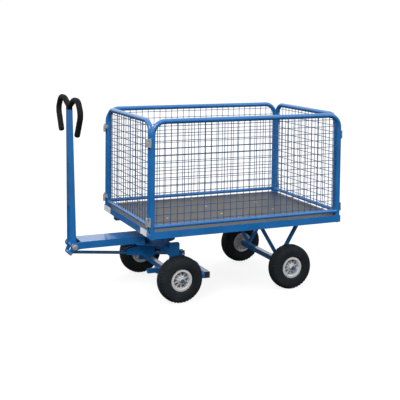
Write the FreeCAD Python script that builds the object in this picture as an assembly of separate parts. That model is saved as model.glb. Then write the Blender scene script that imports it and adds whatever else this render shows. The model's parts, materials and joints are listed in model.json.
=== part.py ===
import FreeCAD, Part
import math
import os

# Hand-drawn platform trolley with mesh walls, a turntable front bogie and a dead-man brake.
# Millimetres. +Z is up, the drawbar points towards -X, its left-hand side is -Y.
# Shapes are drawn about the deck's centre; export() moves them so that the whole
# trolley's bounding box is centred over the origin, with the floor at z = 0.

# Platform
DECK_LENGTH = 1200.0
DECK_WIDTH = 800.0
FRAME_BOTTOM = 388.0
RAIL_TOP = 416.0
RAIL_WIDTH = 30.0
LIP_TOP = 428.0
LIP_THICKNESS = 3.0
DECK_TOP = 428.5
SHEET = 3.0
LOAD_AREA_LENGTH = 1130.0
LOAD_AREA_WIDTH = 736.0
CROSS_MEMBER_XS = (-386.0, -40.0, 306.0)
INNER_RAIL_Y = 200.0
INNER_RAIL_WIDTH = 40.0
INNER_RAIL_BOTTOM = 368.0

# Wheels and axles
TYRE_RADIUS = 130.0
TYRE_WIDTH = 85.0
TRACK = 636.0
FRONT_AXLE_X = -394.0
REAR_AXLE_X = 306.0
AXLE_Z = TYRE_RADIUS
AXLE_TUBE = 30.0
SHAFT_RADIUS = 10.0
RUNNING_CLEARANCE = 0.05
BEARING_RADIUS = 16.0
HUB_RADIUS = 19.5
HUB_INNER = 38.0
HUB_OUTER = 31.0
RIM_HOLES = 10
REAR_TUBE_REACH = 262.0
STRUT_Y = 193.0
STRUT_WIDTH = 18.0
STRUT_SPREAD = 137.0

# Mesh walls
TUBE_RADIUS = 14.0
TUBE_WALL = 2.0
LOW_TUBE_RADIUS = 11.0
WALL_TOP = 1020.0
WALL_RAIL = 451.5
WALL_BEND = 70.0
SIDE_WALL_Y = 385.0
SIDE_POST_X = 586.0
END_WALL_X = 587.0
END_POST_Y = 354.0
MESH_PITCH = 40.0
WIRE = 4.0
WELD_GAP = 0.1
FITTING_HEIGHTS = (478.0, 906.0)
PIN_X = 610.0
PIN_Y = 369.5
PIN_RADIUS = 4.5
EYE_RADIUS = 9.0

# Bogie and turntable
BOLSTER_X = -396.0
BOLSTER_TOP = 285.0
BOLSTER_HEIGHT = 40.0
BOLSTER_WIDTH = 60.0
LEG_INNER_Y = 240.0
LEG_THICKNESS = 8.0
LEG_TOP = 320.0
LEG_BOTTOM = 100.0
RING_RADIUS = 110.0
LOWER_RING_RADIUS = 95.0
RING_BORE = 60.0
RACE_RADIUS = 85.0
RACE_Z = 308.5
BALL_RADIUS = 5.0
BALLS = 24
PLATE_THICKNESS = 6.0
KINGPIN_RADIUS = 10.0
KINGPIN_GAP = 0.5

# Drawbar, handle and brake linkage
ARM_HALF_WIDTH = 70.0
ARM_BOTTOM = 285.0
ARM_TOP = 325.0
ARM_SHEET = 4.0
ARM_FRONT = -885.0
ARM_REAR = -508.0
NOSE_RADIUS = 20.0
PIVOT_X = -921.0
PIVOT_Z = 298.0
PIVOT_RADIUS = 8.0
HANDLE_TOP = 1080.0
LEG_SPREAD_LOW = 38.0
LEG_SPREAD_HIGH = 7.5
FORK_WIDTH = 32.0
FORK_SHEET = 6.0
WEB_START = 520.0
GRIP_X = -937.0
GRIP_RADIUS = 16.5
CROSSBAR_RADIUS = 12.5
SPRING_TURNS = 4
SPRING_PITCH = 4.4
ROD_PIN_X = -938.0
ROD_PIN_Z = 257.0
ROD_PIN_RADIUS = 6.0
TOE_RADIUS = 11.0
ROD_EYE_X = -246.0
ROD_EYE_Z = 183.0
ROD_RADIUS = 9.0
BRAKE_BAR = 25.0
BRAKE_BAR_Z = 97.5
BRAKE_BAR_FRONT = -464.0
CROSS_TUBE_X = -215.0
CROSS_TUBE = 35.0
CROSS_TUBE_HALF = 290.0
SHOE_GAP = 1.5
SHOE_SHEET = 4.0
SHOE_INNER_Y = 280.0
SHOE_OUTER_Y = 322.0
SHOE_BAR_END = 299.0

SIDES = (("left", -1), ("right", 1))
FRONT_EXTREME = GRIP_X - GRIP_RADIUS
REAR_EXTREME = PIN_X + EYE_RADIUS
ORIGIN_SHIFT = -(FRONT_EXTREME + REAR_EXTREME) / 2.0

X_AXIS = FreeCAD.Vector(1, 0, 0)
Y_AXIS = FreeCAD.Vector(0, 1, 0)
Z_AXIS = FreeCAD.Vector(0, 0, 1)


def point(x, y, z):
    return FreeCAD.Vector(x, y, z)


def box(x0, x1, y0, y1, z0, z1):
    """Box between two corners, given in any order."""
    size = [abs(b - a) for a, b in ((x0, x1), (y0, y1), (z0, z1))]
    return Part.makeBox(size[0], size[1], size[2], point(min(x0, x1), min(y0, y1), min(z0, z1)))


def rod(start, end, radius):
    """Round bar from one point to another."""
    return Part.makeCylinder(radius, start.distanceToPoint(end), start, end.sub(start))


def ring(start, end, outer, inner):
    """Round sleeve from one point to another."""
    axis = end.sub(start)
    axis.normalize()
    hole = rod(start.sub(axis), end.add(axis), inner)
    return rod(start, end, outer).cut(hole)


def prism(points, travel):
    """Solid swept straight along travel from the closed outline through points."""
    outline = Part.makePolygon(points + [points[0]])
    return Part.Face(outline).extrude(travel)


def hex_prism(centre, axis, flats, height):
    """Hexagon bar of the given width across flats, standing on centre."""
    side = X_AXIS if abs(axis.x) < 0.5 else Y_AXIS
    other = axis.cross(side)
    corner = flats / math.sqrt(3.0)
    points = []
    for step in range(6):
        angle = math.radians(60 * step)
        arm = side * (corner * math.cos(angle)) + other * (corner * math.sin(angle))
        points.append(centre.add(arm))
    return prism(points, axis * height)


def square_tube(x0, x1, y0, y1, z0, z1, axis, wall=SHEET):
    """Hollow rectangular tube whose open ends face along axis."""
    outside = box(x0, x1, y0, y1, z0, z1)
    grow = {name: (-1.0 if name == axis else wall) for name in "xyz"}
    inside = box(
        min(x0, x1) + grow["x"], max(x0, x1) - grow["x"],
        min(y0, y1) + grow["y"], max(y0, y1) - grow["y"],
        min(z0, z1) + grow["z"], max(z0, z1) - grow["z"],
    )
    return outside.cut(inside)


def rounded_path(points, radii):
    """Wire through points with a tangent arc at each inner point."""
    edges = []
    last = points[0]
    for before, corner, after, radius in zip(points, points[1:], points[2:], radii):
        back = before.sub(corner)
        ahead = after.sub(corner)
        back.normalize()
        ahead.normalize()
        half = back.getAngle(ahead) / 2.0
        reach = radius / math.tan(half)
        arc_start = corner.add(back * reach)
        arc_end = corner.add(ahead * reach)
        bisector = back.add(ahead)
        bisector.normalize()
        centre = corner.add(bisector * (radius / math.sin(half)))
        middle = centre.sub(bisector * radius)
        edges.append(Part.makeLine(last, arc_start))
        edges.append(Part.Arc(arc_start, middle, arc_end).toShape())
        last = arc_end
    edges.append(Part.makeLine(last, points[-1]))
    return Part.Wire(edges)


def pipe(path, radius):
    """Round bar that follows a path."""
    start = path.Edges[0].valueAt(path.Edges[0].FirstParameter)
    heading = path.Edges[0].tangentAt(path.Edges[0].FirstParameter)
    profile = Part.Wire([Part.makeCircle(radius, start, heading)])
    return path.makePipeShell([profile], True, False)


def mirror_y(shape):
    return shape.mirror(point(0, 0, 0), Y_AXIS)


def export(name, solids):
    """Write one sub-part, moved from the deck's centre to the trolley's own origin."""
    shape = Part.makeCompound(solids) if len(solids) > 1 else solids[0].copy()
    shape.translate(point(ORIGIN_SHIFT, 0, 0))
    shape.exportStep("parts/" + name + ".step")


# ---------------------------------------------------------------- platform frame


def rail_profile(length_axis, outer, inner, reach):
    """Edge rail: a box section with an upstand round the deck board; long ones have closed ends."""
    side = 1 if outer > 0 else -1
    lip_inner = outer - side * LIP_THICKNESS
    if length_axis == "x":
        tube = square_tube(-reach, reach, outer, inner, FRAME_BOTTOM, RAIL_TOP, "x")
        for end in (-reach, reach):
            inside = end - math.copysign(SHEET, end)
            tube = tube.fuse(box(end, inside, outer, inner, FRAME_BOTTOM, RAIL_TOP))
        lip = box(-reach, reach, outer, lip_inner, RAIL_TOP, LIP_TOP)
    else:
        tube = square_tube(outer, inner, -reach, reach, FRAME_BOTTOM, RAIL_TOP, "y")
        lip = box(outer, lip_inner, -reach, reach, RAIL_TOP, LIP_TOP)
    return tube.fuse(lip).removeSplitter()


def wall_bolt_places():
    return [(x, y) for x in (-SIDE_POST_X, SIDE_POST_X) for y in (-SIDE_WALL_Y, SIDE_WALL_Y)]


def deck_bolt_places():
    return [(x, y) for x in CROSS_MEMBER_XS for y in (-330.0, -110.0, 110.0, 330.0)]


def upright_bars(places, low, high, radius):
    return [rod(point(x, y, low), point(x, y, high), radius) for x, y in places]


def cut_all(shape, tools):
    for tool in tools:
        shape = shape.cut(tool)
    return shape


def make_rails():
    half_length = DECK_LENGTH / 2.0
    half_width = DECK_WIDTH / 2.0
    holes = upright_bars(wall_bolt_places(), FRAME_BOTTOM - 1, DECK_TOP + 1, 5.3)
    for name, side in SIDES:
        outer = side * half_width
        rail = rail_profile("x", outer, outer - side * RAIL_WIDTH, half_length)
        export("side_rail_" + name, [cut_all(rail, holes)])
    for name, side in (("front", -1), ("rear", 1)):
        outer = side * half_length
        inner = outer - side * RAIL_WIDTH
        export("end_rail_" + name, [rail_profile("y", outer, inner, half_width - RAIL_WIDTH)])


def make_cross_members():
    reach = DECK_WIDTH / 2.0 - RAIL_WIDTH
    holes = upright_bars(deck_bolt_places(), RAIL_TOP - 10, RAIL_TOP + 1, 3.2)
    members = []
    for x in CROSS_MEMBER_XS:
        member = square_tube(x - 15, x + 15, -reach, reach, FRAME_BOTTOM, RAIL_TOP, "y")
        members.append(cut_all(member, holes))
    export("cross_members", members)


def edge_is_outer(edge, end):
    """True for the four edges of an end cap's outer face."""
    limits = edge.BoundBox
    outer = end * DECK_LENGTH / 2.0
    return abs(limits.XMin - outer) < 0.01 and abs(limits.XMax - outer) < 0.01


def make_inner_rails():
    """Long flat tubes under the frame that carry the turntable and the rear struts."""
    half = INNER_RAIL_WIDTH / 2.0
    reach = DECK_LENGTH / 2.0 - 3.0
    low = INNER_RAIL_BOTTOM
    rails = []
    caps = []
    for y in (-INNER_RAIL_Y, INNER_RAIL_Y):
        rails.append(square_tube(-reach, reach, y - half, y + half, low, FRAME_BOTTOM, "x", 2.0))
        for end in (-1, 1):
            face = end * reach
            cap = box(face, face + end * 3.0, y - half, y + half, low, FRAME_BOTTOM)
            cap = cap.makeFillet(2.0, [edge for edge in cap.Edges if edge_is_outer(edge, end)])
            caps.append(cap)
    export("inner_rails", rails)
    export("inner_rail_caps", caps)


def make_deck():
    """Board with its countersunk bolts; its top is divided at the edge of the load area."""
    edge_x = DECK_LENGTH / 2.0 - LIP_THICKNESS - 1.0
    edge_y = DECK_WIDTH / 2.0 - LIP_THICKNESS - 1.0
    board = box(-edge_x, edge_x, -edge_y, edge_y, RAIL_TOP, DECK_TOP)
    half_length = LOAD_AREA_LENGTH / 2.0
    half_width = LOAD_AREA_WIDTH / 2.0
    load_area = box(-half_length, half_length, -half_width, half_width, RAIL_TOP, DECK_TOP)
    board = board.cut(load_area).fuse(load_area)
    bolts = []
    for x, y in deck_bolt_places():
        head = Part.makeCone(3.0, 7.0, 4.0, point(x, y, DECK_TOP - 4.0))
        shank = rod(point(x, y, RAIL_TOP - 7.0), point(x, y, DECK_TOP - 4.0), 3.0)
        bolts.append(head.fuse(shank))
    holes = upright_bars(wall_bolt_places(), RAIL_TOP - 1, DECK_TOP + 1, 5.3)
    export("deck_board", [cut_all(board, bolts + holes)])
    export("deck_bolts", bolts)


def make_wall_bolts():
    """Bolts up through the side rails and the board into the feet of the side walls."""
    bolts = []
    for x, y in wall_bolt_places():
        head = hex_prism(point(x, y, FRAME_BOTTOM - 4.0), Z_AXIS, 16.0, 4.0)
        shank = rod(point(x, y, FRAME_BOTTOM), point(x, y, DECK_TOP + 40.0), 5.0)
        bolts.append(head.fuse(shank))
    export("wall_bolts", bolts)


# ---------------------------------------------------------------- mesh walls


def wall_frame(half_span, foot):
    """Bent tube hoop with a straight bottom rail, drawn in the X-Z plane at y = 0."""
    corners = [
        point(-half_span, 0, foot), point(-half_span, 0, WALL_TOP),
        point(half_span, 0, WALL_TOP), point(half_span, 0, foot),
    ]
    path = rounded_path(corners, [WALL_BEND, WALL_BEND])
    hoop = pipe(path, TUBE_RADIUS)
    bore = pipe(path, TUBE_RADIUS - TUBE_WALL)
    left = point(-half_span, 0, WALL_RAIL)
    right = point(half_span, 0, WALL_RAIL)
    rail = rod(left, right, LOW_TUBE_RADIUS).cut(rod(left, right, LOW_TUBE_RADIUS - TUBE_WALL))
    return hoop.cut(bore).fuse(rail.cut(hoop))


def wall_mesh(half_span):
    """Welded square mesh that fills the hoop, drawn in the X-Z plane at y = 0."""
    inner = half_span - TUBE_RADIUS - WELD_GAP
    low = WALL_RAIL + LOW_TUBE_RADIUS + WELD_GAP
    high = WALL_TOP - TUBE_RADIUS - WELD_GAP
    columns = int(inner / MESH_PITCH)
    rows = int((high - low) / MESH_PITCH)
    first_row = (high + low) / 2.0 - rows * MESH_PITCH / 2.0
    half = WIRE / 2.0
    wires = []
    for column in range(-columns, columns + 1):
        x = column * MESH_PITCH
        wires.append(box(x - half, x + half, -half, half, low, high))
    for row in range(rows + 1):
        z = first_row + row * MESH_PITCH
        wires.append(box(-inner, inner, -half, half, z - half, z + half))
    grid = wires[0].multiFuse(wires[1:]).removeSplitter()
    window = box(-inner, inner, -half, half, low, high)
    bend = WALL_BEND - TUBE_RADIUS - WELD_GAP
    corner_edges = []
    for edge in window.Edges:
        limits = edge.BoundBox
        if abs(limits.ZMin - high) < 0.01 and abs(limits.XMax - limits.XMin) < 0.01:
            corner_edges.append(edge)
    return grid.common(window.makeFillet(bend, corner_edges))


def place_end_wall(shape, side):
    """Turn a wall drawn in the X-Z plane to face along X, at the front or the rear."""
    shape.rotate(point(0, 0, 0), Z_AXIS, 90)
    shape.translate(point(side * END_WALL_X, 0, 0))
    return shape


def hinge_pin(side_x, side_y, z):
    """Plate on a side wall's post with an upright pin for the end wall's eye."""
    x = side_x * PIN_X
    y = side_y * PIN_Y
    post_x = side_x * SIDE_POST_X
    post_y = side_y * SIDE_WALL_Y
    plate = box(side_x * 598, side_x * 604, side_y * 380, side_y * 397, z - 24, z + 24)
    arm = box(side_x * 601, side_x * 608, side_y * 369, side_y * 382, z - 24, z - 3)
    knuckle = rod(point(x, y, z - 24), point(x, y, z - 3), EYE_RADIUS)
    pin = rod(point(x, y, z - 4), point(x, y, z + 22), PIN_RADIUS)
    post = rod(point(post_x, post_y, z - 40), point(post_x, post_y, z + 40), TUBE_RADIUS)
    return plate.fuse([arm, knuckle, pin]).cut(post).removeSplitter()


def hinge_eye(side_x, side_y, z):
    """Eye on an end wall's post that drops over the side wall's pin."""
    x = side_x * PIN_X
    y = side_y * PIN_Y
    post_x = side_x * END_WALL_X
    post_y = side_y * END_POST_Y
    low = z - 2.5
    high = z + 18.0
    tab = box(side_x * 598, side_x * 604, side_y * 342, side_y * 365, low, high)
    eye = rod(point(x, y, low), point(x, y, high), EYE_RADIUS)
    post = rod(point(post_x, post_y, z - 40), point(post_x, post_y, z + 40), TUBE_RADIUS)
    hole = rod(point(x, y, low - 1), point(x, y, high + 1), PIN_RADIUS + 0.5)
    return tab.fuse(eye).cut(post).cut(hole).removeSplitter()


def make_walls():
    for name, side in SIDES:
        frame = wall_frame(SIDE_POST_X, DECK_TOP)
        mesh = wall_mesh(SIDE_POST_X)
        for shape in (frame, mesh):
            shape.translate(point(0, side * SIDE_WALL_Y, 0))
        export("side_wall_" + name + "_frame", [frame])
        export("side_wall_" + name + "_mesh", [mesh])
    for name, side in (("front", -1), ("rear", 1)):
        export(name + "_wall_frame", [place_end_wall(wall_frame(END_POST_Y, DECK_TOP + 1.0), side)])
        export(name + "_wall_mesh", [place_end_wall(wall_mesh(END_POST_Y), side)])
        eyes = [hinge_eye(side, y, z) for y in (-1, 1) for z in FITTING_HEIGHTS]
        export(name + "_wall_eyes", eyes)
    pins = [hinge_pin(x, y, z) for x in (-1, 1) for y in (-1, 1) for z in FITTING_HEIGHTS]
    export("wall_hinge_pins", pins)


# ---------------------------------------------------------------- wheels and axles


def revolve_about_y(points):
    """Solid of revolution about the Y axis; points are (radius, y) pairs."""
    outline = Part.makePolygon([point(r, y, 0) for r, y in points + [points[0]]])
    return Part.Face(outline).revolve(point(0, 0, 0), Y_AXIS, 360)


def make_tyre():
    """Hollow tyre: rounded shoulders, bulged walls and two beads that sit on the rim."""
    half = TYRE_WIDTH / 2.0
    middle = 89.0
    section = []
    for degrees in range(-105, 106, 15):
        across = math.sin(math.radians(degrees))
        outwards = math.cos(math.radians(degrees))
        y = half * math.copysign(abs(across) ** 0.75, across)
        radius = middle + (TYRE_RADIUS - middle) * math.copysign(abs(outwards) ** 0.6, outwards)
        section.append((radius, y))
    start = [(51.0, -26.8), (53.0, -29.8), (62.3, -29.8)]
    end = [(62.3, 29.8), (53.0, 29.8), (51.0, 26.8)]
    inner = [(51.0, 20.0), (70.0, 26.0), (100.0, 33.0), (118.0, 24.0)]
    inner += [(118.0, -24.0), (100.0, -33.0), (70.0, -26.0), (51.0, -20.0)]
    return revolve_about_y(start + section + end + inner)


def make_rim():
    """Rim barrel with curled flanges, a dished disc with round holes, and the hub tube."""
    barrel = [(49, -28), (51, -28), (51, 28), (49, 28)]
    flange = [(49, 27), (51, 27), (53, 30), (61, 30), (62, 31.5), (61, 33), (51, 33), (49, 31)]
    disc = [(19, 14), (24, 14), (29, 8), (42, 8), (46, 14), (50, 17)]
    disc += [(50, 13), (44, 5), (27, 5), (22, 11), (19, 11)]
    hub = [(BEARING_RADIUS, -HUB_INNER), (HUB_RADIUS, -HUB_INNER)]
    hub += [(HUB_RADIUS, HUB_OUTER), (BEARING_RADIUS, HUB_OUTER)]
    other_flange = [(radius, -y) for radius, y in flange]
    rim = revolve_about_y(barrel)
    for outline in (flange, other_flange, disc, hub):
        rim = rim.fuse(revolve_about_y(outline))
    for step in range(RIM_HOLES):
        angle = 2.0 * math.pi * step / RIM_HOLES
        x = 35.5 * math.cos(angle)
        z = 35.5 * math.sin(angle)
        rim = rim.cut(rod(point(x, 0, z), point(x, 20, z), 5.5))
    return rim.removeSplitter()


def make_bearings():
    bore = SHAFT_RADIUS + RUNNING_CLEARANCE
    inner = ring(point(0, 1 - HUB_INNER, 0), point(0, 13 - HUB_INNER, 0), BEARING_RADIUS, bore)
    outer = ring(point(0, HUB_OUTER - 13, 0), point(0, HUB_OUTER - 1, 0), BEARING_RADIUS, bore)
    return [inner, outer]


def make_wheels():
    pieces = (("tyre", [make_tyre()]), ("rim", [make_rim()]), ("bearings", make_bearings()))
    for end, x in (("front", FRONT_AXLE_X), ("rear", REAR_AXLE_X)):
        for name, side in SIDES:
            for piece, solids in pieces:
                placed = []
                for solid in solids:
                    turned = solid.copy() if side > 0 else mirror_y(solid)
                    turned.translate(point(x, side * TRACK / 2.0, AXLE_Z))
                    placed.append(turned)
                export(end + "_" + name + "_" + piece, placed)


def axle_solids(x, tube_reach, shoulder_start):
    """Square axle tube with a stub shaft for the wheel at each end."""
    half = AXLE_TUBE / 2.0
    solids = [square_tube(x - half, x + half, -tube_reach, tube_reach, AXLE_Z - half, AXLE_Z + half, "y")]
    shoulder_end = TRACK / 2.0 - HUB_INNER - 0.5
    tip = TRACK / 2.0 + 46.0
    for side in (-1, 1):
        shoulder_face = point(x, side * shoulder_end, AXLE_Z)
        shoulder = rod(point(x, side * shoulder_start, AXLE_Z), shoulder_face, 14.0)
        shaft = rod(shoulder_face, point(x, side * tip, AXLE_Z), SHAFT_RADIUS)
        solids.append(shoulder.fuse(shaft))
    return solids


def axle_nuts(x):
    """Washer and nut that hold each wheel on its shaft."""
    solids = []
    for side in (-1, 1):
        start = side * (TRACK / 2.0 + HUB_OUTER + 0.5)
        seat = start + side * 3.0
        washer = ring(point(x, start, AXLE_Z), point(x, seat, AXLE_Z), 18.0, SHAFT_RADIUS)
        nut = hex_prism(point(x, seat, AXLE_Z), Y_AXIS * side, 24.0, 9.0)
        shaft = rod(point(x, seat - side, AXLE_Z), point(x, seat + side * 20, AXLE_Z), SHAFT_RADIUS)
        solids += [washer, nut.cut(shaft)]
    return solids


def strut(side, y):
    """Square bar that leans from the rear axle up to an inner rail, its ends cut level."""
    x = REAR_AXLE_X
    z_low = AXLE_Z + AXLE_TUBE / 2.0
    z_high = INNER_RAIL_BOTTOM
    lean = math.atan2(z_high - z_low, STRUT_SPREAD)
    half = STRUT_WIDTH / (2.0 * math.sin(lean))
    high_x = x + side * STRUT_SPREAD
    face = y - STRUT_WIDTH / 2.0
    bar = prism([
        point(x - half, face, z_low), point(x + half, face, z_low),
        point(high_x + half, face, z_high), point(high_x - half, face, z_high),
    ], point(0, STRUT_WIDTH, 0))
    return bar.common(box(x, x + side * 200, y - 50, y + 50, z_low, z_high))


def make_axles():
    leg_face = LEG_INNER_Y + LEG_THICKNESS
    export("front_axle", axle_solids(FRONT_AXLE_X, LEG_INNER_Y, leg_face))
    export("rear_axle", axle_solids(REAR_AXLE_X, REAR_TUBE_REACH, REAR_TUBE_REACH))
    export("front_axle_nuts", axle_nuts(FRONT_AXLE_X))
    export("rear_axle_nuts", axle_nuts(REAR_AXLE_X))
    export("rear_struts", [strut(side, y) for y in (-STRUT_Y, STRUT_Y) for side in (-1, 1)])


# ---------------------------------------------------------------- turntable and bogie


def revolve_about_kingpin(points):
    """Solid of revolution about the kingpin; points are (radius, z) pairs."""
    outline = Part.makePolygon([point(r, 0, z) for r, z in points + [points[0]]])
    turned = Part.Face(outline).revolve(point(0, 0, 0), Z_AXIS, 360)
    turned.translate(point(FRONT_AXLE_X, 0, 0))
    return turned


def make_turntable():
    x = FRONT_AXLE_X
    plate_low = INNER_RAIL_BOTTOM - PLATE_THICKNESS
    reach = INNER_RAIL_Y + INNER_RAIL_WIDTH / 2.0
    pin_bore = rod(point(x, 0, plate_low - 1), point(x, 0, INNER_RAIL_BOTTOM + 1), KINGPIN_RADIUS)
    plate = box(x - 130, x + 130, -reach, reach, plate_low, INNER_RAIL_BOTTOM)
    export("turntable_plate", [plate.cut(pin_bore)])
    race_top = RACE_Z + 0.5
    race_bottom = RACE_Z - 0.5
    upper = revolve_about_kingpin([
        (RING_BORE, race_top), (LOWER_RING_RADIUS + 1, race_top), (LOWER_RING_RADIUS + 1, 322),
        (RING_RADIUS, 322), (RING_RADIUS, plate_low), (RING_RADIUS - 22, plate_low),
        (RING_RADIUS - 22, 331), (RING_BORE, 331),
    ])
    lower = revolve_about_kingpin([
        (RING_BORE, BOLSTER_TOP), (LOWER_RING_RADIUS, BOLSTER_TOP),
        (LOWER_RING_RADIUS, race_bottom), (RING_BORE, race_bottom),
    ])
    centre = point(x, 0, RACE_Z)
    export("turntable_upper_ring", [upper.cut(Part.makeTorus(RACE_RADIUS, BALL_RADIUS + 0.1, centre))])
    export("turntable_lower_ring", [lower.cut(Part.makeTorus(RACE_RADIUS, BALL_RADIUS + 0.4, centre))])
    balls = []
    for step in range(BALLS):
        angle = 2.0 * math.pi * step / BALLS
        spot = point(x + RACE_RADIUS * math.cos(angle), RACE_RADIUS * math.sin(angle), RACE_Z)
        balls.append(Part.makeSphere(BALL_RADIUS, spot))
    export("turntable_balls", balls)


def make_kingpin():
    x = FRONT_AXLE_X
    head = hex_prism(point(x, 0, INNER_RAIL_BOTTOM), Z_AXIS, 30.0, 12.0)
    nut_top = BOLSTER_TOP - BOLSTER_HEIGHT - KINGPIN_GAP
    shank = rod(point(x, 0, nut_top - 19), point(x, 0, INNER_RAIL_BOTTOM), KINGPIN_RADIUS)
    nut = hex_prism(point(x, 0, nut_top - 17), Z_AXIS, 30.0, 17.0).cut(shank)
    export("kingpin", [head.fuse(shank), nut])


def bogie_leg(side):
    """Upright plate from below the axle to just above the bolster, top corners rounded."""
    half = BOLSTER_WIDTH / 2.0
    y0 = side * LEG_INNER_Y
    y1 = side * (LEG_INNER_Y + LEG_THICKNESS)
    leg = box(BOLSTER_X - half, BOLSTER_X + half, y0, y1, LEG_BOTTOM, LEG_TOP)
    corners = []
    for edge in leg.Edges:
        limits = edge.BoundBox
        if abs(limits.ZMin - LEG_TOP) < 0.01 and limits.XLength < 0.01:
            corners.append(edge)
    return leg.makeFillet(12.0, corners)


def make_bogie_frame():
    half = BOLSTER_WIDTH / 2.0
    low = BOLSTER_TOP - BOLSTER_HEIGHT
    x0 = BOLSTER_X - half
    x1 = BOLSTER_X + half
    bolster = square_tube(x0, x1, -LEG_INNER_Y, LEG_INNER_Y, low, BOLSTER_TOP, "y", 4.0)
    pin_low = point(FRONT_AXLE_X, 0, low - 1)
    pin_high = point(FRONT_AXLE_X, 0, BOLSTER_TOP + 1)
    bolster = bolster.cut(rod(pin_low, pin_high, KINGPIN_RADIUS + KINGPIN_GAP))
    export("bogie_frame", [bolster, bogie_leg(-1), bogie_leg(1)])


def make_guides():
    """Cheeks beside the brake rod, and the sleeve under the axle that guides the brake bar."""
    front = BOLSTER_X - BOLSTER_WIDTH / 2.0
    under = ARM_BOTTOM - PLATE_THICKNESS
    cheeks = []
    for y in (-22.0, 18.0):
        outline = [(-600, 212), (-600, 240), (-468, under), (front, under), (front, 190)]
        cheeks.append(prism([point(x, y, z) for x, z in outline], point(0, 4.0, 0)))
    export("rod_guide", cheeks)
    axle_underside = AXLE_Z - AXLE_TUBE / 2.0
    sleeve = box(FRONT_AXLE_X - 20, FRONT_AXLE_X + 20, -17, 17, 80.5, axle_underside)
    window = box(FRONT_AXLE_X - 21, FRONT_AXLE_X + 21, -13.5, 13.5, 84, 111)
    export("yoke_guide", [sleeve.cut(window)])


def make_tow_arm():
    """Folded channel, open below, whose flanges carry the handle's pivot bolt."""
    top = box(ARM_FRONT, ARM_REAR, -ARM_HALF_WIDTH, ARM_HALF_WIDTH, ARM_TOP - ARM_SHEET, ARM_TOP)
    arm = top
    for side in (-1, 1):
        inner = side * (ARM_HALF_WIDTH - ARM_SHEET)
        outer = side * ARM_HALF_WIDTH
        flange = box(ARM_FRONT, ARM_REAR, inner, outer, ARM_BOTTOM, ARM_TOP)
        nose = rod(point(PIVOT_X, inner, PIVOT_Z), point(PIVOT_X, outer, PIVOT_Z), NOSE_RADIUS)
        neck = prism([
            point(PIVOT_X, inner, PIVOT_Z - NOSE_RADIUS), point(ARM_FRONT, inner, ARM_BOTTOM),
            point(ARM_FRONT, inner, ARM_TOP), point(PIVOT_X, inner, PIVOT_Z + NOSE_RADIUS),
        ], point(0, outer - inner, 0))
        arm = arm.fuse([flange, nose, neck])
    pivot = rod(point(PIVOT_X, -90, PIVOT_Z), point(PIVOT_X, 90, PIVOT_Z), PIVOT_RADIUS)
    export("tow_arm", [arm.cut(pivot).removeSplitter()])


def make_arm_gusset():
    front = BOLSTER_X - BOLSTER_WIDTH / 2.0
    low = ARM_BOTTOM - PLATE_THICKNESS
    tip = -560.0
    plate = prism([
        point(front, -170, low), point(front, 170, low),
        point(tip, ARM_HALF_WIDTH, low), point(tip, -ARM_HALF_WIDTH, low),
    ], point(0, 0, PLATE_THICKNESS))
    export("arm_gusset", [plate])


def make_pivot_bolt():
    face = ARM_HALF_WIDTH
    seat = face + 3.0
    shank = rod(point(PIVOT_X, -seat, PIVOT_Z), point(PIVOT_X, seat + 15, PIVOT_Z), PIVOT_RADIUS)
    head = hex_prism(point(PIVOT_X, -seat, PIVOT_Z), Y_AXIS * -1, 20.0, 8.0)
    solids = [head.fuse(shank)]
    for side in (-1, 1):
        start = point(PIVOT_X, side * face, PIVOT_Z)
        end = point(PIVOT_X, side * seat, PIVOT_Z)
        solids.append(ring(start, end, 16.0, PIVOT_RADIUS))
    nut = hex_prism(point(PIVOT_X, seat, PIVOT_Z), Y_AXIS, 20.0, 13.0)
    solids.append(nut.cut(shank))
    export("pivot_bolt", solids)


def make_return_springs():
    """Two torsion coils around the pivot bolt, between the handle and the arm's flanges."""
    springs = []
    for side in (-1, 1):
        helix = Part.makeLongHelix(SPRING_PITCH, SPRING_PITCH * SPRING_TURNS, 13.0)
        first_edge = helix.Edges[0]
        start = first_edge.valueAt(first_edge.FirstParameter)
        heading = first_edge.tangentAt(first_edge.FirstParameter)
        profile = Part.Wire([Part.makeCircle(1.75, start, heading)])
        coil = Part.Wire(helix.Edges).makePipeShell([profile], True, True)
        coil.rotate(point(0, 0, 0), X_AXIS, -90 * side)
        coil.translate(point(PIVOT_X, side * 45.0, PIVOT_Z))
        springs.append(coil)
    export("return_springs", springs)


# ---------------------------------------------------------------- handle


def fork_leg(side):
    """One side plate of the handle: a blade that leans in, a boss and a toe for the rod."""
    half = FORK_WIDTH / 2.0
    half_sheet = FORK_SHEET / 2.0
    height = HANDLE_TOP - PIVOT_Z
    blade = prism([
        point(-half, side * (LEG_SPREAD_LOW - half_sheet), 0),
        point(-half, side * (LEG_SPREAD_LOW + half_sheet), 0),
        point(-half, side * (LEG_SPREAD_HIGH + half_sheet), height),
        point(-half, side * (LEG_SPREAD_HIGH - half_sheet), height),
    ], point(FORK_WIDTH, 0, 0))
    blade.rotate(point(0, 0, 0), Y_AXIS, -math.degrees(math.atan2(PIVOT_X - GRIP_X, height)))
    inner = side * (LEG_SPREAD_LOW - half_sheet)
    outer = side * (LEG_SPREAD_LOW + half_sheet)
    boss = rod(point(0, inner, 0), point(0, outer, 0), 18.0)
    toe_x = ROD_PIN_X - PIVOT_X
    toe_z = ROD_PIN_Z - PIVOT_Z
    toe = rod(point(toe_x, inner, toe_z), point(toe_x, outer, toe_z), TOE_RADIUS)
    across = point(-toe_z, 0, toe_x)
    across.normalize()
    across = across * TOE_RADIUS
    neck = prism([
        point(0, inner, 0).add(across), point(0, inner, 0).sub(across),
        point(toe_x, inner, toe_z).sub(across), point(toe_x, inner, toe_z).add(across),
    ], point(0, outer - inner, 0))
    return blade.fuse([boss, toe, neck])


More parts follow.
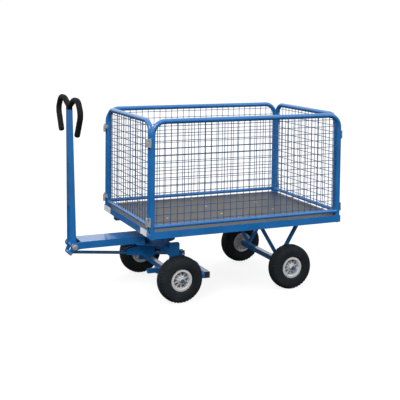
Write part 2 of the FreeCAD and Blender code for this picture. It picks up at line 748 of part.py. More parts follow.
def fork_web():
    """Front plate that joins the two blades from part of the way up."""
    height = HANDLE_TOP - PIVOT_Z
    start = WEB_START - PIVOT_Z
    low = LEG_SPREAD_LOW - (LEG_SPREAD_LOW - LEG_SPREAD_HIGH) * start / height
    face = -FORK_WIDTH / 2.0
    web = prism([
        point(face, -low, start), point(face, low, start),
        point(face, LEG_SPREAD_HIGH, height), point(face, -LEG_SPREAD_HIGH, height),
    ], point(FORK_SHEET, 0, 0))
    web.rotate(point(0, 0, 0), Y_AXIS, -math.degrees(math.atan2(PIVOT_X - GRIP_X, height)))
    return web


def handlebar_path(tip_extra):
    """Centreline of the handlebar's right half, from the upright out and down to its tip."""
    corners = [(0, 1080), (95, 1120), (175, 1122), (230, 1051), (160, 932)]
    points = [point(GRIP_X, y, z) for y, z in corners]
    heading = points[-1].sub(points[-2])
    heading.normalize()
    points[-1] = points[-1].add(heading * tip_extra)
    return rounded_path(points, [80.0, 60.0, 50.0])


def make_handle():
    cross_tube = rod(point(0, -LEG_SPREAD_LOW, 0), point(0, LEG_SPREAD_LOW, 0), 13.0)
    fork = fork_leg(-1).fuse([fork_leg(1), fork_web(), cross_tube])
    fork.translate(point(PIVOT_X, 0, PIVOT_Z))
    crossbar = pipe(handlebar_path(0.0), CROSSBAR_RADIUS)
    fork = fork.fuse([crossbar, mirror_y(crossbar)])
    pivot_bore = PIVOT_RADIUS + RUNNING_CLEARANCE
    fork = fork.cut(rod(point(PIVOT_X, -60, PIVOT_Z), point(PIVOT_X, 60, PIVOT_Z), pivot_bore))
    rod_pin_hole = rod(point(ROD_PIN_X, -60, ROD_PIN_Z), point(ROD_PIN_X, 60, ROD_PIN_Z), ROD_PIN_RADIUS)
    fork = fork.cut(rod_pin_hole)
    export("handle_fork", [fork.removeSplitter()])
    right_half = box(GRIP_X - 60, GRIP_X + 60, 0, 400, 800, 1300)
    sleeve = pipe(handlebar_path(5.0), GRIP_RADIUS).common(right_half)
    export("grip_right", [sleeve.cut(fork)])
    export("grip_left", [mirror_y(sleeve).cut(fork)])
    reach = LEG_SPREAD_LOW + FORK_SHEET / 2.0 + 5.0
    rod_pin = rod(point(ROD_PIN_X, -reach, ROD_PIN_Z), point(ROD_PIN_X, reach, ROD_PIN_Z), ROD_PIN_RADIUS)
    export("rod_pin", [rod_pin])


# ---------------------------------------------------------------- brake linkage


def across_rod(x, z, half_width, radius):
    """Round bar along Y, centred over the brake rod."""
    return rod(point(x, -half_width, z), point(x, half_width, z), radius)


def make_brake_rod():
    """Push rod with an eye at each end; the rear eye holds a cross pin."""
    bar = rod(point(ROD_PIN_X, 0, ROD_PIN_Z), point(ROD_EYE_X, 0, ROD_EYE_Z), ROD_RADIUS)
    front_eye = across_rod(ROD_PIN_X, ROD_PIN_Z, 14, TOE_RADIUS)
    rear_eye = across_rod(ROD_EYE_X, ROD_EYE_Z, 10, 16)
    front_hole = across_rod(ROD_PIN_X, ROD_PIN_Z, 20, ROD_PIN_RADIUS + RUNNING_CLEARANCE)
    rear_hole = across_rod(ROD_EYE_X, ROD_EYE_Z, 20, ROD_PIN_RADIUS)
    body = bar.fuse([front_eye, rear_eye]).cut(front_hole).cut(rear_hole)
    export("brake_rod", [body.removeSplitter()])
    export("eye_pin", [across_rod(ROD_EYE_X, ROD_EYE_Z, 22, ROD_PIN_RADIUS)])


def brake_lug(side):
    """Upright plate on the brake bar with a tall slot for the rod's cross pin."""
    y0 = side * 11.0
    y1 = side * 16.0
    bar_top = BRAKE_BAR_Z + BRAKE_BAR / 2.0
    foot = box(ROD_EYE_X - 16, ROD_EYE_X + 12, side * 6.0, y1, bar_top, bar_top + 5)
    blade = box(ROD_EYE_X - 16, ROD_EYE_X + 12, y0, y1, bar_top, ROD_EYE_Z + 20)
    slot_half = ROD_PIN_RADIUS + 1.3
    slot_low = ROD_EYE_Z - 5.0
    slot_high = ROD_EYE_Z + 6.5
    slot = box(ROD_EYE_X - slot_half, ROD_EYE_X + slot_half, y0 - side, y1 + side, slot_low, slot_high)
    for z in (slot_low, slot_high):
        slot = slot.fuse(rod(point(ROD_EYE_X, y0 - side, z), point(ROD_EYE_X, y1 + side, z), slot_half))
    return foot.fuse(blade).cut(slot)


def make_brake_bar():
    half = BRAKE_BAR / 2.0
    z0 = BRAKE_BAR_Z - half
    z1 = BRAKE_BAR_Z + half
    rear = CROSS_TUBE_X + CROSS_TUBE / 2.0
    bar = square_tube(BRAKE_BAR_FRONT, rear, -half, half, z0, z1, "x", 2.5)
    front_plug = box(BRAKE_BAR_FRONT, BRAKE_BAR_FRONT + 3, -half, half, z0, z1)
    rear_plug = box(rear - 3, rear, -half, half, z0, z1)
    bar = bar.fuse([front_plug, rear_plug, brake_lug(-1), brake_lug(1)])
    export("brake_bar", [bar.removeSplitter()])


def make_brake_cross_tube():
    low = BRAKE_BAR_Z + BRAKE_BAR / 2.0
    high = low + CROSS_TUBE
    x0 = CROSS_TUBE_X - CROSS_TUBE / 2.0
    x1 = CROSS_TUBE_X + CROSS_TUBE / 2.0
    export("brake_cross_tube", [square_tube(x0, x1, -CROSS_TUBE_HALF, CROSS_TUBE_HALF, low, high, "y")])
    caps = []
    for side in (-1, 1):
        face = side * CROSS_TUBE_HALF
        caps.append(box(x0, x1, face, face + side * 4, low, high))
    export("cross_tube_caps", caps)


def brake_shoe(side):
    """Curved plate behind a front tyre, with a flat bar and two ribs to the cross tube."""
    inner = TYRE_RADIUS + SHOE_GAP
    outer = inner + SHOE_SHEET
    y0 = side * SHOE_INNER_Y
    y1 = side * SHOE_OUTER_Y
    drum = ring(point(FRONT_AXLE_X, y0, AXLE_Z), point(FRONT_AXLE_X, y1, AXLE_Z), outer, inner)
    far = 260.0
    corners = [point(FRONT_AXLE_X, y0, AXLE_Z)]
    for degrees in (-10, 40):
        angle = math.radians(degrees)
        corners.append(point(FRONT_AXLE_X + far * math.cos(angle), y0, AXLE_Z + far * math.sin(angle)))
    shoe = drum.common(prism(corners, point(0, y1 - y0, 0)))
    tube_front = CROSS_TUBE_X - CROSS_TUBE / 2.0
    low = BRAKE_BAR_Z + BRAKE_BAR / 2.0 + 3.0
    high = low + CROSS_TUBE - 6.0
    bar_end = side * SHOE_BAR_END
    bar = box(tube_front - 6, tube_front, side * 240, bar_end, low, high)
    clear_start = point(FRONT_AXLE_X, y0 - side * 9, AXLE_Z)
    clear_end = point(FRONT_AXLE_X, y1 + side * 9, AXLE_Z)
    clear = rod(clear_start, clear_end, inner + 1)
    for y in (y0, bar_end - side * 4):
        rib = box(FRONT_AXLE_X + 120, tube_front - 6, y, y + side * 4, low, high)
        shoe = shoe.fuse(rib.cut(clear))
    return shoe.fuse(bar).removeSplitter()


os.makedirs("parts", exist_ok=True)
make_rails()
make_cross_members()
make_inner_rails()
make_deck()
make_wall_bolts()
make_walls()
make_wheels()
make_axles()
make_turntable()
make_kingpin()
make_bogie_frame()
make_guides()
make_tow_arm()
make_arm_gusset()
make_pivot_bolt()
make_return_springs()
make_handle()
make_brake_rod()
make_brake_bar()
make_brake_cross_tube()
export("brake_shoes", [brake_shoe(-1), brake_shoe(1)])
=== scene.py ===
import json
import math
import bmesh
import bpy
from mathutils import Matrix, Vector


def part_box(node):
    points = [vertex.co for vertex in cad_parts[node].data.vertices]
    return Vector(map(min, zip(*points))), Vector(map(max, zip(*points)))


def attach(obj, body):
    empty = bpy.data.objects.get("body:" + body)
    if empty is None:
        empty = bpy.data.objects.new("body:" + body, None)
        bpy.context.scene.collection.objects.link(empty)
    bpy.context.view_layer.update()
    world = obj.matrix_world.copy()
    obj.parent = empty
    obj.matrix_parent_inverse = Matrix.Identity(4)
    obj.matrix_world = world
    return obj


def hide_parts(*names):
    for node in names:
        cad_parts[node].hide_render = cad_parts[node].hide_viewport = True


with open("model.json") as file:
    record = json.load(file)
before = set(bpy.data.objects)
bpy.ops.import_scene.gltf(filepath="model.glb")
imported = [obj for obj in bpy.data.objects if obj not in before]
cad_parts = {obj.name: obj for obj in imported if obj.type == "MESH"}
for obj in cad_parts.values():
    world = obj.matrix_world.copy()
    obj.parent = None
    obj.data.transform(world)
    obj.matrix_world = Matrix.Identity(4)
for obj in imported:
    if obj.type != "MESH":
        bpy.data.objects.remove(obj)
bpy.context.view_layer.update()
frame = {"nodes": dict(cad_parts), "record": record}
nodes = frame["nodes"]

MM = 0.001
PLATFORM_HALF_LENGTH = 600.0 * MM
FRONT_AXLE_X = -394.0
REAR_AXLE_X = 306.0
AXLE_HEIGHT = 130.0
HALF_TRACK = 318.0 * MM
PIVOT_HEIGHT = 298.0
PIVOT_X = -921.0
HANDLE_TOP = 1080.0


def node_centre(name):
    low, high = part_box(name)
    return (Vector(low) + Vector(high)) / 2.0


def platform_centre_x():
    """X of the middle of the platform, from which the weld positions are measured."""
    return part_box("side_rail_left")[0][0] + PLATFORM_HALF_LENGTH


# ------------------------------------------------------------------ materials


class Material:
    """A node material with a few shortcuts for procedural surface detail."""

    def __init__(self, name):
        self.data = bpy.data.materials.new(name)
        self.data.use_nodes = True
        self.tree = self.data.node_tree
        self.shader = self.tree.nodes["Principled BSDF"]
        self.coords = self.node("ShaderNodeTexCoord").outputs["Object"]
        self.height = None

    def node(self, kind, **settings):
        made = self.tree.nodes.new(kind)
        for key, value in settings.items():
            setattr(made, key, value)
        return made

    def link(self, source, target):
        self.tree.links.new(source, target)

    def scaled(self, stretch):
        """Object coordinates stretched per axis, for grain that runs one way."""
        mapping = self.node("ShaderNodeMapping")
        mapping.inputs["Scale"].default_value = stretch
        self.link(self.coords, mapping.inputs["Vector"])
        return mapping.outputs["Vector"]

    def noise(self, scale, detail=3.0, roughness=0.55, stretch=None):
        made = self.node("ShaderNodeTexNoise")
        made.inputs["Scale"].default_value = scale
        made.inputs["Detail"].default_value = detail
        made.inputs["Roughness"].default_value = roughness
        self.link(self.scaled(stretch) if stretch else self.coords, made.inputs["Vector"])
        return made.outputs["Fac"]

    def ramp(self, factor, low, high, start=0.0, end=1.0):
        """Factor remapped so that low..high becomes start..end, clamped."""
        made = self.node("ShaderNodeMapRange")
        made.inputs["From Min"].default_value = low
        made.inputs["From Max"].default_value = high
        made.inputs["To Min"].default_value = start
        made.inputs["To Max"].default_value = end
        self.link(factor, made.inputs["Value"])
        return made.outputs["Result"]

    def math(self, operation, a, b):
        made = self.node("ShaderNodeMath", operation=operation)
        for socket, value in zip(made.inputs, (a, b)):
            if isinstance(value, (int, float)):
                socket.default_value = value
            else:
                self.link(value, socket)
        return made.outputs["Value"]

    def mix(self, factor, a, b):
        made = self.node("ShaderNodeMix", data_type="RGBA")
        self.link(factor, made.inputs["Factor"])
        first, second = made.inputs[6], made.inputs[7]
        for socket, value in ((first, a), (second, b)):
            if isinstance(value, tuple):
                socket.default_value = (*value, 1.0)
            else:
                self.link(value, socket)
        return made.outputs[2]

    def colour(self, socket):
        self.link(socket, self.shader.inputs["Base Color"])

    def set_roughness(self, socket):
        self.link(socket, self.shader.inputs["Roughness"])

    def bump(self, height, strength, distance):
        """Adds one bump layer on top of the layers already there."""
        made = self.node("ShaderNodeBump")
        made.inputs["Strength"].default_value = strength
        made.inputs["Distance"].default_value = distance
        self.link(height, made.inputs["Height"])
        if self.height is not None:
            self.link(self.height, made.inputs["Normal"])
        self.height = made.outputs["Normal"]
        self.link(self.height, self.shader.inputs["Normal"])

    def fixed(self, **values):
        for name, value in values.items():
            self.shader.inputs[name.replace("_", " ")].default_value = value
        return self


def paint_material():
    """Blue powder coat: slight mottling, orange peel, fine scuffs and a little dust."""
    mat = Material("blue_powder_coat")
    mottle = mat.noise(7.0, 4.0)
    tone = mat.mix(mat.ramp(mottle, 0.35, 0.65), (0.007, 0.132, 0.395), (0.012, 0.157, 0.450))
    scuffs = mat.noise(60.0, 6.0, 0.7, (1.0, 1.0, 5.0))
    scuff_mask = mat.ramp(scuffs, 0.70, 0.78, 0.0, 0.16)
    tone = mat.mix(scuff_mask, tone, (0.06, 0.19, 0.40))
    chips = mat.noise(210.0, 2.0)
    chip_zone = mat.ramp(mat.noise(11.0, 2.0), 0.58, 0.7)
    chip_mask = mat.math("MULTIPLY", mat.ramp(chips, 0.73, 0.76, 0.0, 0.6), chip_zone)
    tone = mat.mix(chip_mask, tone, (0.30, 0.32, 0.34))
    mat.colour(tone)
    mat.set_roughness(mat.ramp(mat.math("ADD", mottle, scuff_mask), 0.3, 1.0, 0.24, 0.4))
    mat.bump(mat.noise(420.0, 2.0), 0.06, 0.0003)
    mat.bump(chip_mask, 0.4, 0.0002)
    mat.fixed(Specular_IOR_Level=0.35, Coat_Weight=0.75, Coat_Roughness=0.04)
    return mat.data


def wire_material():
    """Powder-coated wire: a duller, slightly greyed blue with small bright rubs."""
    mat = Material("wire_powder_coat")
    clouds = mat.noise(40.0, 4.0)
    tone = mat.mix(mat.ramp(clouds, 0.3, 0.7), (0.022, 0.075, 0.185), (0.034, 0.100, 0.235))
    rubs = mat.ramp(mat.noise(150.0, 4.0, 0.7), 0.62, 0.72, 0.0, 0.4)
    tone = mat.mix(rubs, tone, (0.14, 0.19, 0.26))
    mat.colour(tone)
    mat.set_roughness(mat.ramp(clouds, 0.3, 0.7, 0.32, 0.48))
    mat.bump(mat.noise(700.0, 2.0), 0.15, 0.0002)
    return mat.data


def zinc_material(name, dark, light, roughness, scale):
    """Zinc-plated steel: cloudy plate, fine brushing and a few darker stains."""
    mat = Material(name)
    clouds = mat.noise(scale, 4.0)
    brushing = mat.noise(900.0, 2.0, 0.5, (1.0, 1.0, 0.08))
    tone = mat.mix(mat.ramp(clouds, 0.3, 0.7), dark, light)
    stains = mat.ramp(mat.noise(scale * 0.6, 5.0, 0.7), 0.62, 0.72, 0.0, 0.4)
    tone = mat.mix(stains, tone, (0.30, 0.29, 0.27))
    mat.colour(tone)
    polish = mat.math("ADD", clouds, brushing)
    mat.set_roughness(mat.ramp(polish, 0.6, 1.4, roughness - 0.08, roughness + 0.1))
    mat.bump(brushing, 0.15, 0.0002)
    mat.fixed(Metallic=0.85)
    return mat.data


def deck_material():
    """Film-faced plywood: dark brown film with a pressed wire pattern, worn paler in drifts."""
    mat = Material("film_faced_plywood")
    drift = mat.noise(2.2, 5.0, 0.6, (0.5, 1.4, 1.0))
    fine = mat.noise(140.0, 3.0)
    tone = mat.mix(mat.ramp(drift, 0.35, 0.65), (0.042, 0.040, 0.038), (0.064, 0.061, 0.058))
    tone = mat.mix(mat.ramp(fine, 0.45, 0.75, 0.0, 0.3), tone, (0.10, 0.096, 0.09))
    scratches = mat.noise(45.0, 5.0, 0.75, (0.35, 6.0, 1.0))
    scratch_mask = mat.ramp(scratches, 0.69, 0.74, 0.0, 0.5)
    tone = mat.mix(scratch_mask, tone, (0.15, 0.14, 0.125))
    mat.colour(tone)
    mat.set_roughness(mat.ramp(mat.math("ADD", drift, fine), 0.7, 1.3, 0.34, 0.56))
    weave = None
    for stretch in ((1.0, 1.0, 0.0), (1.0, -1.0, 0.0)):
        wave = mat.node("ShaderNodeTexWave", wave_type="BANDS", bands_direction="DIAGONAL")
        wave.inputs["Scale"].default_value = 70.0
        wave.inputs["Distortion"].default_value = 0.3
        mat.link(mat.scaled(stretch), wave.inputs["Vector"])
        weave = wave.outputs["Fac"] if weave is None else mat.math("MAXIMUM", weave, wave.outputs["Fac"])
    mat.bump(weave, 0.35, 0.0008)
    mat.bump(fine, 0.2, 0.0004)
    return mat.data


def rubber_material(name, dark, light, roughness, grain, grain_depth, dust):
    """Rubber or foam: near-black, with grain and dust that gathers in drifts."""
    mat = Material(name)
    drift = mat.noise(9.0, 5.0, 0.65)
    fine = mat.noise(grain, 3.0)
    tone = mat.mix(mat.ramp(drift, 0.35, 0.7), dark, light)
    dust_mask = mat.math("MULTIPLY", mat.ramp(drift, 0.5, 0.75), mat.ramp(fine, 0.4, 0.7, 0.0, dust))
    tone = mat.mix(dust_mask, tone, (0.16, 0.155, 0.15))
    mat.colour(tone)
    mat.set_roughness(mat.ramp(mat.math("ADD", drift, fine), 0.7, 1.3, roughness - 0.1, roughness + 0.1))
    mat.bump(fine, 0.5, grain_depth)
    mat.fixed(Specular_IOR_Level=0.22)
    return mat.data


def plastic_material(name, dark, light, roughness, scale=30.0):
    """Moulded plastic: faint flow marks, fine texture and light handling dirt."""
    mat = Material(name)
    flow = mat.noise(scale, 4.0, 0.6)
    fine = mat.noise(700.0, 2.0)
    tone = mat.mix(mat.ramp(flow, 0.35, 0.65), dark, light)
    dirt = mat.ramp(mat.noise(scale * 2.5, 6.0, 0.7), 0.6, 0.72, 0.0, 0.3)
    tone = mat.mix(dirt, tone, tuple(0.55 * c for c in dark))
    mat.colour(tone)
    mat.set_roughness(mat.ramp(mat.math("ADD", flow, fine), 0.7, 1.3, roughness - 0.07, roughness + 0.08))
    mat.bump(fine, 0.15, 0.00015)
    return mat.data


def floor_material():
    """Pale matt floor that glows a little, so it stays near white."""
    mat = Material("studio_floor")
    tone = mat.mix(mat.ramp(mat.noise(0.6, 3.0), 0.3, 0.7), (0.20, 0.20, 0.20), (0.22, 0.22, 0.22))
    mat.colour(tone)
    mat.set_roughness(mat.ramp(mat.noise(3.0, 2.0), 0.3, 0.7, 0.75, 0.9))
    mat.bump(mat.noise(300.0, 2.0), 0.05, 0.0003)
    mat.fixed(Specular_IOR_Level=0.0, Emission_Color=(1.0, 1.0, 1.0, 1.0), Emission_Strength=0.85)
    return mat.data


PAINT = paint_material()
WIRE = wire_material()
ZINC = zinc_material("bright_zinc", (0.66, 0.67, 0.66), (0.86, 0.87, 0.86), 0.34, 40.0)
STEEL = zinc_material("ground_steel", (0.34, 0.34, 0.35), (0.5, 0.5, 0.5), 0.34, 50.0)
DECK = deck_material()
TYRE = rubber_material("tyre_rubber", (0.006, 0.009, 0.012), (0.013, 0.018, 0.023), 0.74, 330.0, 0.0006, 0.12)
FOAM = rubber_material("grip_foam", (0.004, 0.004, 0.004), (0.009, 0.009, 0.009), 0.86, 800.0, 0.0006, 0.04)
BLACK = plastic_material("black_plastic", (0.012, 0.012, 0.014), (0.024, 0.024, 0.027), 0.5)
RIM = plastic_material("rim_plastic", (0.52, 0.53, 0.54), (0.66, 0.67, 0.68), 0.36)
PLATE = plastic_material("label_plate_white", (0.78, 0.79, 0.80), (0.86, 0.87, 0.88), 0.3)
SLOT_MATERIALS = {
    "blue_paint": PAINT, "wire_paint": WIRE, "zinc": ZINC, "steel": STEEL, "deck": DECK,
    "tyre": TYRE, "grip_foam": FOAM, "black_plastic": BLACK, "rim": RIM,
}


def dress_cad_nodes():
    """Gives every CAD node the finished material of its slot."""
    slots = {row["node"]: row["material_slot"] for row in frame["record"]["subparts"]}
    for name, obj in nodes.items():
        obj.data.materials.clear()
        obj.data.materials.append(SLOT_MATERIALS[slots[name]])


# ------------------------------------------------------------------ mesh helpers


def new_piece(name, mesh, material, body, smooth_angle=35.0):
    """Finished object from a bmesh or mesh data, riding on a body."""
    if isinstance(mesh, bmesh.types.BMesh):
        data = bpy.data.meshes.new(name)
        bmesh.ops.recalc_face_normals(mesh, faces=mesh.faces)
        mesh.to_mesh(data)
        mesh.free()
    else:
        data = mesh
    for polygon in data.polygons:
        polygon.use_smooth = True
    data.set_sharp_from_angle(angle=math.radians(smooth_angle))
    obj = bpy.data.objects.new(name, data)
    bpy.context.scene.collection.objects.link(obj)
    obj.data.materials.append(material)
    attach(obj, body)
    return obj


def frame_at(heading, hint=Vector((0.0, 0.0, 1.0))):
    """Two unit vectors square to a heading."""
    heading = heading.normalized()
    if abs(heading.dot(hint)) > 0.95:
        hint = Vector((1.0, 0.0, 0.0))
    side = heading.cross(hint).normalized()
    return side, side.cross(heading).normalized()


def sweep(mesh, points, radii, sides, closed=False):
    """Tube through points with one radius per point; open tubes get end caps."""
    count = len(points)
    rings = []
    side, up = frame_at(points[1] - points[0])
    for index in range(count):
        before = points[(index - 1) % count] if closed or index > 0 else points[0]
        after = points[(index + 1) % count] if closed or index < count - 1 else points[-1]
        heading = (after - before).normalized()
        side = (side - heading * side.dot(heading)).normalized()
        up = side.cross(heading).normalized()
        ring = []
        for step in range(sides):
            angle = 2.0 * math.pi * step / sides
            offset = side * math.cos(angle) + up * math.sin(angle)
            ring.append(mesh.verts.new(points[index] + offset * radii[index]))
        rings.append(ring)
    spans = count if closed else count - 1
    for index in range(spans):
        ring_a = rings[index]
        ring_b = rings[(index + 1) % count]
        for step in range(sides):
            following = (step + 1) % sides
            mesh.faces.new((ring_a[step], ring_a[following], ring_b[following], ring_b[step]))
    if not closed:
        mesh.faces.new(list(reversed(rings[0])))
        mesh.faces.new(rings[-1])


def lathe(mesh, outline, centre, steps, shape=None):
    """Closed outline of (radius, y) pairs turned about an axle at centre."""
    rings = []
    for step in range(steps):
        angle = 2.0 * math.pi * step / steps
        ring = []
        for index, (radius, y) in enumerate(outline):
            if shape:
                radius, y = shape(index, radius, y, step)
            spot = centre + Vector((radius * math.cos(angle), y, radius * math.sin(angle)))
            ring.append(mesh.verts.new(spot))
        rings.append(ring)
    size = len(outline)
    for step in range(steps):
        ring_a = rings[step]
        ring_b = rings[(step + 1) % steps]
        for index in range(size):
            following = (index + 1) % size
            mesh.faces.new((ring_a[index], ring_a[following], ring_b[following], ring_b[index]))


def weld_bead(mesh, points, closed=False, radius=1.9 * MM, pitch=3.2 * MM):
    """Rippled weld bead along a polyline."""
    stations = []
    legs = list(zip(points, points[1:] + points[:1])) if closed else list(zip(points, points[1:]))
    for start, end in legs:
        length = (end - start).length
        steps = max(2, int(length / (pitch / 2.0)))
        for step in range(steps):
            stations.append(start.lerp(end, step / steps))
    if not closed:
        stations.append(points[-1])
    radii = [radius * (1.0 if index % 2 else 0.78) for index in range(len(stations))]
    sweep(mesh, stations, radii, 7, closed)


def rounded_route(corners, radii, arc_steps=9):
    """Points along a polyline whose inner corners are rounded."""
    route = [corners[0]]
    for before, corner, after, radius in zip(corners, corners[1:], corners[2:], radii):
        back = (before - corner).normalized()
        ahead = (after - corner).normalized()
        half = back.angle(ahead) / 2.0
        reach = radius / math.tan(half)
        centre = corner + (back + ahead).normalized() * (radius / math.sin(half))
        first = corner + back * reach - centre
        last = corner + ahead * reach - centre
        for step in range(arc_steps + 1):
            route.append(centre + first.slerp(last, step / arc_steps).normalized() * radius)
    route.append(corners[-1])
    return route


def soften(obj, width, segments=2):
    """Small rounded edges on a piece of folded sheet or bar."""
    bevel = obj.modifiers.new("edge", "BEVEL")
    bevel.width = width
    bevel.segments = segments
    bevel.limit_method = "ANGLE"
    bevel.angle_limit = math.radians(40.0)
    bevel.harden_normals = False


# ------------------------------------------------------------------ wheels

TREAD_BLOCKS = 40
TREAD_STEPS_PER_BLOCK = 8
TREAD_DEPTH = 3.2 * MM
TYRE_RADIUS = 130.0 * MM
TYRE_MIDDLE = 89.0 * MM
SIDEWALL_RINGS = (76.0 * MM, 80.0 * MM, 104.0 * MM)
SIDEWALL_RING_HALF_WIDTH = 2.2 * MM
SIDEWALL_RING_DEPTH = 0.9 * MM


def tyre_outline(half_width, outer):
    """Outer skin of the tyre as (radius, y, on the crown), bead to bead, and its closing base."""
    points = [(51.2 * MM, -26.6 * MM, False), (53.2 * MM, -29.6 * MM, False), (62.2 * MM, -29.6 * MM, False)]
    points += [(64.0 * MM, -33.5 * MM, False), (67.0 * MM, -38.0 * MM, False)]
    for degrees in range(-104, 105, 4):
        across = math.sin(math.radians(degrees))
        outwards = math.cos(math.radians(degrees))
        y = half_width * math.copysign(abs(across) ** 0.75, across)
        radius = TYRE_MIDDLE + (outer - TYRE_MIDDLE) * math.copysign(abs(outwards) ** 0.6, outwards)
        points.append((radius, y, abs(degrees) < 62))
    points += [(67.0 * MM, 38.0 * MM, False), (64.0 * MM, 33.5 * MM, False)]
    points += [(62.2 * MM, 29.6 * MM, False), (53.2 * MM, 29.6 * MM, False), (51.2 * MM, 26.6 * MM, False)]
    return points


def make_tyre(name, body):
    """Tyre with staggered tread blocks, grooves between the ribs and rings on its sidewalls."""
    low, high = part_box(name)
    centre = (Vector(low) + Vector(high)) / 2.0
    centre.z = low[2] + TYRE_RADIUS
    half_width = (high[1] - low[1]) / 2.0
    outline = tyre_outline(half_width, TYRE_RADIUS)

    def tread(index, radius, y, step):
        """Sinks the grooves of the crown and the rings of the sidewalls into the outline."""
        depth = 0.0
        if outline[index][2]:
            share = abs(y / half_width)
            skew = int(round(6.0 * share))
            phase = (step + skew + (4 if y > 0.0 else 0)) % TREAD_STEPS_PER_BLOCK
            rib_groove = 0.30 < share < 0.42 or share < 0.055
            if phase < 2 and share > 0.12 or rib_groove:
                depth = TREAD_DEPTH
        elif radius > 70.0 * MM:
            if any(abs(radius - ring) < SIDEWALL_RING_HALF_WIDTH for ring in SIDEWALL_RINGS):
                depth = SIDEWALL_RING_DEPTH
        towards = Vector((radius - TYRE_MIDDLE, y * 0.9))
        if towards.length > 0.0:
            towards.normalize()
        return radius - towards.x * depth, y - towards.y * depth

    mesh = bmesh.new()
    lathe(mesh, [(r, y) for r, y, _ in outline], centre, TREAD_BLOCKS * TREAD_STEPS_PER_BLOCK, tread)
    piece = new_piece(name + "_tread", mesh, TYRE, body, 28.0)
    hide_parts(name)


SPOKE_COUNT = 10
SPOKE_STATIONS = (
    (19.2, -8.0, 27.0, 3.4), (28.0, -8.0, 21.5, 2.7), (38.0, -8.0, 20.0, 2.7), (49.6, -8.0, 25.0, 4.2),
)
BACK_SPOKE_STATIONS = (
    (19.2, 8.0, 27.0, 3.4), (28.0, 8.0, 21.5, 2.7), (38.0, 8.0, 20.0, 2.7), (49.6, 8.0, 25.0, 4.2),
)
RIM_BARREL = (
    (49.0, -31.0), (51.0, -33.0), (61.0, -33.0), (62.0, -31.5), (61.0, -30.0), (53.0, -30.0), (51.0, -27.5),
    (51.0, 27.5), (53.0, 30.0), (61.0, 30.0), (62.0, 31.5), (61.0, 33.0), (51.5, 33.8), (50.4, 34.4), (47.5, 32.5),
    (45.6, 27.5), (45.2, 21.0), (46.6, 17.5), (49.0, 16.0),
)
RIM_WALL = ((19.0, -10.0), (49.6, -10.0), (49.6, -7.0), (19.0, -7.0))
RIM_HUB_RING = ((19.0, -8.0), (26.0, -8.0), (26.0, 12.0), (24.0, 14.5), (19.0, 17.0))
RIM_OUTER_RING = ((44.0, -8.0), (49.6, -8.0), (49.6, 17.5), (45.8, 15.5), (44.0, 13.0))
RIM_COLLAR = (
    (19.4, 20.0), (22.0, 20.0), (22.8, 21.5), (22.0, 31.2), (20.6, 32.4), (18.8, 32.4), (18.8, 31.0), (19.4, 31.0),
)
RIM_HUB = ((16.0, -38.0), (19.5, -38.0), (19.5, 31.0), (16.0, 31.0))
RIM_OUTLINES = (RIM_BARREL, RIM_WALL, RIM_HUB_RING, RIM_OUTER_RING, RIM_COLLAR, RIM_HUB)
RIM_STEPS = 96


def add_spoke(mesh, centre, outward, angle, stations):
    """One tapered rib from the hub to the barrel, standing on the rim's wall."""
    along = Vector((math.cos(angle), 0.0, math.sin(angle)))
    across = Vector((-math.sin(angle), 0.0, math.cos(angle)))
    rings = []
    for radius, low, high, half in stations:
        ring = []
        for y, spread in ((low, half), (low, -half), (high, -half * 0.55), (high, half * 0.55)):
            spot = centre + along * (radius * MM) + across * (spread * MM)
            ring.append(mesh.verts.new(spot + Vector((0.0, outward * y * MM, 0.0))))
        rings.append(ring)
    for ring_a, ring_b in zip(rings, rings[1:]):
        for step in range(4):
            following = (step + 1) % 4
            mesh.faces.new((ring_a[step], ring_a[following], ring_b[following], ring_b[step]))
    mesh.faces.new(list(reversed(rings[0])))
    mesh.faces.new(rings[-1])


def make_rim(name, body):
    """Moulded rim: barrel, flanges, wall and hub, with ten ribs and deep pockets on both sides."""
    centre = node_centre(name)
    outward = 1.0 if centre.y > 0.0 else -1.0
    centre.y = outward * HALF_TRACK
    mesh = bmesh.new()
    for outline in RIM_OUTLINES:
        lathe(mesh, [(radius * MM, outward * y * MM) for radius, y in outline], centre, RIM_STEPS)
    for spoke in range(SPOKE_COUNT):
        angle = 2.0 * math.pi * (spoke + 0.5) / SPOKE_COUNT
        add_spoke(mesh, centre, outward, angle, SPOKE_STATIONS)
        add_spoke(mesh, centre, -outward, angle, BACK_SPOKE_STATIONS)
    piece = new_piece(name + "_moulding", mesh, RIM, body, 40.0)
    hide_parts(name)
    soften(piece, 0.4 * MM)


AXLE_CAP = (
    (0.2, 0.0), (10.3, 0.0), (10.3, -6.0), (11.4, -6.0), (11.6, 0.4), (10.8, 1.6), (3.0, 2.2), (0.2, 2.3),
)


def make_axle_ends():
    """Painted caps on the ends of the four stub shafts, each with a rounded rim."""
    for end, body in (("front", "bogie"), ("rear", "chassis")):
        low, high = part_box(end + "_axle")
        mesh = bmesh.new()
        for side, face in ((-1.0, low[1]), (1.0, high[1])):
            centre = Vector(((low[0] + high[0]) / 2.0, face, AXLE_HEIGHT * MM))
            lathe(mesh, [(radius * MM, side * y * MM) for radius, y in AXLE_CAP], centre, 32)
        new_piece(end + "_axle_caps", mesh, WIRE, body, 40.0)


def make_valve(name, body):
    """Short rubber valve stem with a cap, bent out through the rim."""
    centre = node_centre(name)
    outward = 1.0 if centre.y > 0.0 else -1.0
    centre.y = outward * HALF_TRACK
    points = []
    for radius, y in ((46.0, 8.0), (43.0, 17.0), (41.5, 26.0), (41.0, 32.0)):
        points.append(centre + Vector((radius * MM * 0.2, outward * y * MM, radius * MM * 0.98)))
    mesh = bmesh.new()
    sweep(mesh, points, [3.4 * MM, 2.9 * MM, 2.9 * MM, 2.5 * MM], 12)
    new_piece(name + "_valve", mesh, BLACK, body)


# ------------------------------------------------------------------ mesh walls


